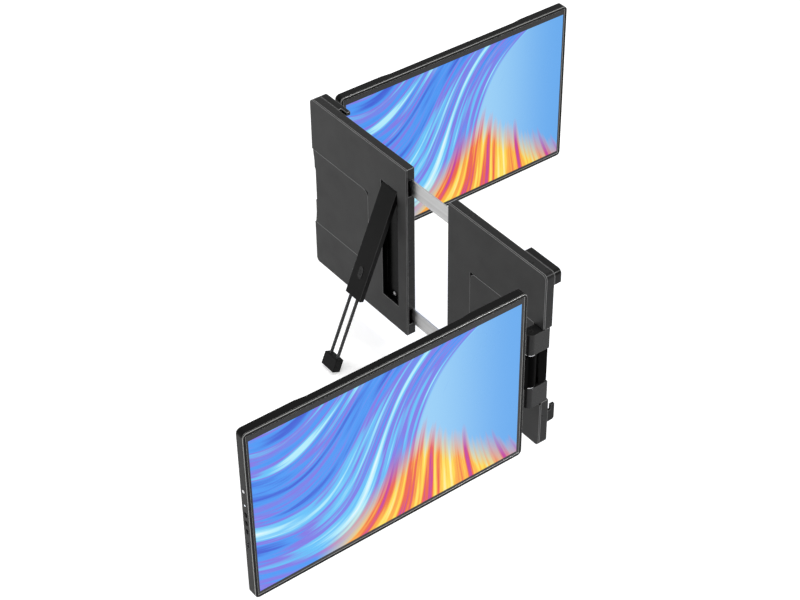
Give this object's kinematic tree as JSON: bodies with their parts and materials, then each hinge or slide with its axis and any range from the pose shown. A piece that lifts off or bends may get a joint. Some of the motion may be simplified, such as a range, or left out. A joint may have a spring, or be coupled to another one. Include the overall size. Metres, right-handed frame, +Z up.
{
  "type": "laptop screen extender",
  "caption": "Two hinged portable displays on a sliding two-part lid mount with steel rails, lid hooks and a telescopic rear stand",
  "frame": {"origin": "face of the left half's long lid pad, at its middle, where the laptop's lid rests", "axes": "+Z up, +Y towards the laptop lid and its user, +X along the mount from the left half to the right half"},
  "size_m": [0.3854, 0.6838, 0.2383],
  "materials": {
    "casing_plastic": "fine matt moulded",
    "screen_plastic": "satin moulded",
    "hook_plastic": "matt moulded",
    "hinge_metal": "dark satin paint",
    "steel": "bright",
    "rail_steel": "fine brushed",
    "rod_black": "black, fine threaded",
    "leg_plastic": "matt",
    "foot_rubber": "matt",
    "pad_rubber": "matt",
    "glass": "glossy display",
    "lcd": "sheet",
    "board": "solder mask",
    "key_plastic": "satin",
    "light": "clear lens"
  },
  "bodies": {
    "left_half": {"left_front_shell": "casing_plastic", "left_hinge_bracket": "hinge_metal", "left_hinge_pin": "steel", "left_hinge_plate": "casing_plastic", "left_hinge_washers": "steel", "left_lid_pads": "pad_rubber", "left_lower_hook": "hook_plastic", "left_rear_cover": "casing_plastic", "left_top_hook": "hook_plastic", "rail_guides": "hook_plastic", "stand_catch": "steel", "stand_pin": "steel", "stand_well": "casing_plastic"},
    "right_half": {"lower_rail": "rail_steel", "rail_screws": "steel", "right_front_shell": "casing_plastic", "right_hinge_bracket": "hinge_metal", "right_hinge_pin": "steel", "right_hinge_plate": "casing_plastic", "right_hinge_washers": "steel", "right_lid_pads": "pad_rubber", "right_lower_hook": "hook_plastic", "right_rear_cover": "casing_plastic", "right_top_hook": "hook_plastic", "upper_rail": "rail_steel"},
    "far_screen": {"far_back_cover": "screen_plastic", "far_front_frame": "screen_plastic", "far_glass": "glass", "far_hinge_arm": "hinge_metal", "far_lcd_module": "lcd", "far_main_board": "board", "far_status_light": "light", "far_usb_socket": "steel"},
    "near_screen": {"near_back_cover": "screen_plastic", "near_front_frame": "screen_plastic", "near_glass": "glass", "near_hinge_arm": "hinge_metal", "near_lcd_module": "lcd", "near_main_board": "board", "near_status_light": "light", "near_usb_socket": "steel"},
    "stand_leg": {"stand_leg": "leg_plastic"},
    "stand_rods": {"stand_foot": "foot_rubber", "stand_rods": "rod_black"},
    "stand_button": {"stand_button": "leg_plastic"},
    "far_key_1": {"far_key_1": "key_plastic"},
    "far_key_2": {"far_key_2": "key_plastic"},
    "far_key_3": {"far_key_3": "key_plastic"},
    "far_power_key": {"far_power_key": "key_plastic"},
    "near_key_1": {"near_key_1": "key_plastic"},
    "near_key_2": {"near_key_2": "key_plastic"},
    "near_key_3": {"near_key_3": "key_plastic"},
    "near_power_key": {"near_power_key": "key_plastic"}
  },
  "joints": [
    {"name": "mount_slide", "type": "slide", "parent": "left_half", "child": "right_half", "axis": [1, 0, 0], "range_m": [-0.068, 0.011]},
    {"name": "far_screen_hinge", "type": "hinge", "parent": "left_half", "child": "far_screen", "pos_m": [-0.125, 0.0036, 0], "axis": [0, 0, 1], "range_deg": [-40, 100]},
    {"name": "near_screen_hinge", "type": "hinge", "parent": "right_half", "child": "near_screen", "pos_m": [0.245, -0.0214, 0], "axis": [0, 0, 1], "range_deg": [-68, 100]},
    {"name": "stand_hinge", "type": "hinge", "parent": "left_half", "child": "stand_leg", "pos_m": [0.0071, -0.008, 0.0688], "axis": [-1, 0, 0], "range_deg": [-21, 37]},
    {"name": "stand_rods_slide", "type": "slide", "parent": "stand_leg", "child": "stand_rods", "axis": [0, -0.3907, -0.9205], "range_m": [-0.0715, 0.015]},
    {"name": "stand_button_press", "type": "slide", "parent": "stand_leg", "child": "stand_button", "axis": [0, 0.9205, -0.3907], "range_m": [0, 0.0009], "stiffness_N_per_m": 500},
    {"name": "far_key_1_press", "type": "slide", "parent": "far_screen", "child": "far_key_1", "axis": [0, -1, 0], "range_m": [0, 0.0004], "stiffness_N_per_m": 400},
    {"name": "far_key_2_press", "type": "slide", "parent": "far_screen", "child": "far_key_2", "axis": [0, -1, 0], "range_m": [0, 0.0004], "stiffness_N_per_m": 400},
    {"name": "far_key_3_press", "type": "slide", "parent": "far_screen", "child": "far_key_3", "axis": [0, -1, 0], "range_m": [0, 0.0004], "stiffness_N_per_m": 400},
    {"name": "far_power_key_press", "type": "slide", "parent": "far_screen", "child": "far_power_key", "axis": [0, -1, 0], "range_m": [0, 0.0004], "stiffness_N_per_m": 400},
    {"name": "near_key_1_press", "type": "slide", "parent": "near_screen", "child": "near_key_1", "axis": [0, 1, 0], "range_m": [0, 0.0004], "stiffness_N_per_m": 400},
    {"name": "near_key_2_press", "type": "slide", "parent": "near_screen", "child": "near_key_2", "axis": [0, 1, 0], "range_m": [0, 0.0004], "stiffness_N_per_m": 400},
    {"name": "near_key_3_press", "type": "slide", "parent": "near_screen", "child": "near_key_3", "axis": [0, 1, 0], "range_m": [0, 0.0004], "stiffness_N_per_m": 400},
    {"name": "near_power_key_press", "type": "slide", "parent": "near_screen", "child": "near_power_key", "axis": [0, 1, 0], "range_m": [0, 0.0004], "stiffness_N_per_m": 400}
  ]
}
